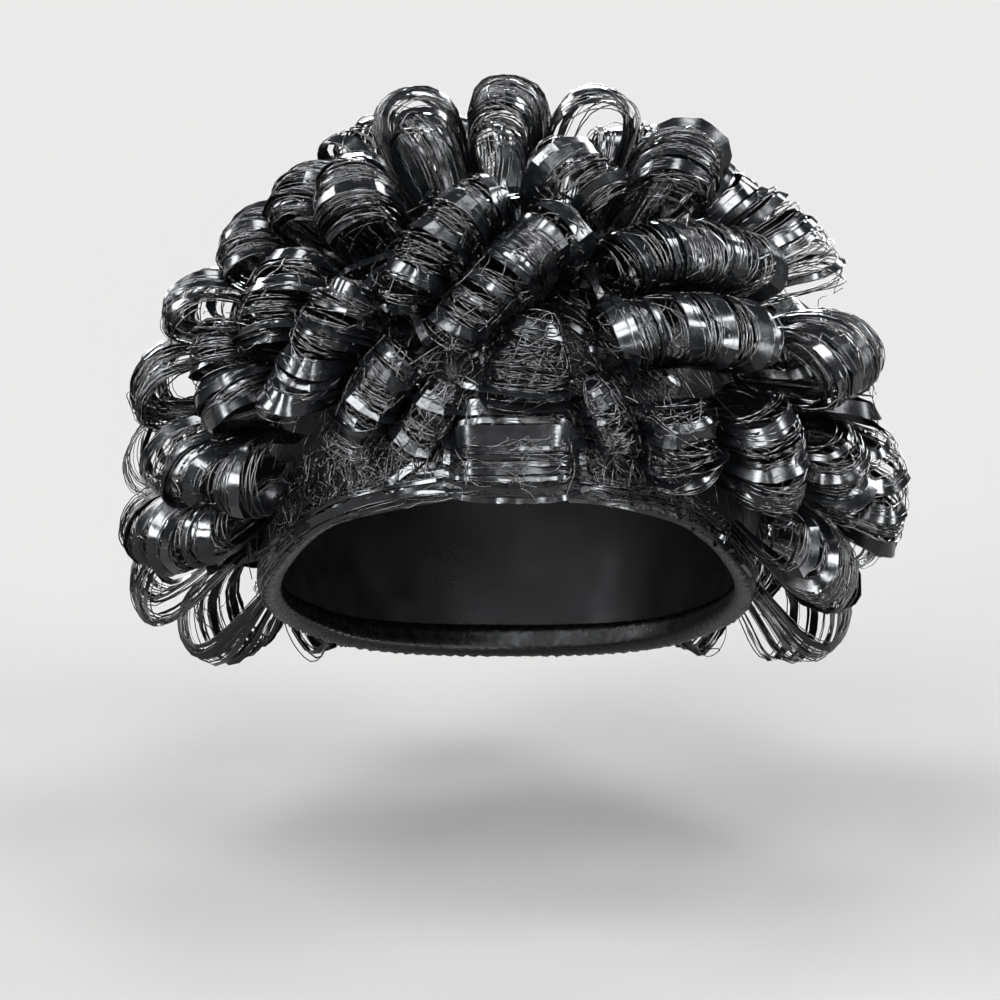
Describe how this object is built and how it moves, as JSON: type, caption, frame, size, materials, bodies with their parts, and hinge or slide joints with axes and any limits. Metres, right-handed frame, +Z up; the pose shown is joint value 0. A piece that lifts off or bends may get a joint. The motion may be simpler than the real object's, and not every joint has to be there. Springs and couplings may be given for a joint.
{
  "type": "turban hat",
  "caption": "Close stretch cap covered all over in tall standing curls of glossy black mesh ribbon, with a folded hem round the face and nape opening.",
  "frame": {"origin": "middle of the head that the cap sits on, level with the forehead's lower half", "axes": "+Z up, the wearer faces -Y, +X to the wearer's left"},
  "size_m": [0.2624, 0.2422, 0.2202],
  "materials": {
    "mesh_ribbon": "glossy black foil strips and fine black thread in an open mesh",
    "cap_satin": "dark stretch satin",
    "hem_knit": "matt black finely wrinkled knit"
  },
  "bodies": {
    "root": {"brow_panel": "mesh_ribbon", "crown_cap": "cap_satin", "curl_back_high_left_1": "mesh_ribbon", "curl_back_high_left_2": "mesh_ribbon", "curl_back_high_left_3": "mesh_ribbon", "curl_back_high_right_1": "mesh_ribbon", "curl_back_high_right_2": "mesh_ribbon", "curl_back_high_right_3": "mesh_ribbon", "curl_back_left_1": "mesh_ribbon", "curl_back_left_2": "mesh_ribbon", "curl_back_left_3": "mesh_ribbon", "curl_back_middle_1": "mesh_ribbon", "curl_back_middle_2": "mesh_ribbon", "curl_back_middle_3": "mesh_ribbon", "curl_back_right_1": "mesh_ribbon", "curl_back_right_2": "mesh_ribbon", "curl_brow_left": "mesh_ribbon", "curl_brow_middle_left": "mesh_ribbon", "curl_brow_middle_right": "mesh_ribbon", "curl_brow_right": "mesh_ribbon", "curl_cheek_left_high": "mesh_ribbon", "curl_cheek_left_loop": "mesh_ribbon", "curl_cheek_left_low": "mesh_ribbon", "curl_cheek_left_middle": "mesh_ribbon", "curl_cheek_right": "mesh_ribbon", "curl_cheek_right_front": "mesh_ribbon", "curl_cheek_right_low": "mesh_ribbon", "curl_crown_front_right": "mesh_ribbon", "curl_crown_left": "mesh_ribbon", "curl_crown_right": "mesh_ribbon", "curl_crown_top": "mesh_ribbon", "curl_edge_left": "mesh_ribbon", "curl_edge_left_high": "mesh_ribbon", "curl_edge_left_low": "mesh_ribbon", "curl_edge_right": "mesh_ribbon", "curl_edge_right_high": "mesh_ribbon", "curl_edge_right_low": "mesh_ribbon", "curl_front_bell": "mesh_ribbon", "curl_front_centre_long": "mesh_ribbon", "curl_front_left_long": "mesh_ribbon", "curl_jaw_left": "mesh_ribbon", "curl_jaw_right": "mesh_ribbon", "curl_low_left": "mesh_ribbon", "curl_low_middle": "mesh_ribbon", "curl_low_right": "mesh_ribbon", "curl_nape_left": "mesh_ribbon", "curl_nape_middle": "mesh_ribbon", "curl_nape_right": "mesh_ribbon", "curl_side_left_high": "mesh_ribbon", "curl_side_left_loop": "mesh_ribbon", "curl_side_left_low": "mesh_ribbon", "curl_side_left_middle": "mesh_ribbon", "curl_side_right": "mesh_ribbon", "curl_temple_left": "mesh_ribbon", "curl_temple_left_high": "mesh_ribbon", "curl_temple_right": "mesh_ribbon", "curl_temple_right_high": "mesh_ribbon", "curl_upper_left": "mesh_ribbon", "curl_upper_right": "mesh_ribbon", "rim_band": "hem_knit"}
  },
  "joints": []
}
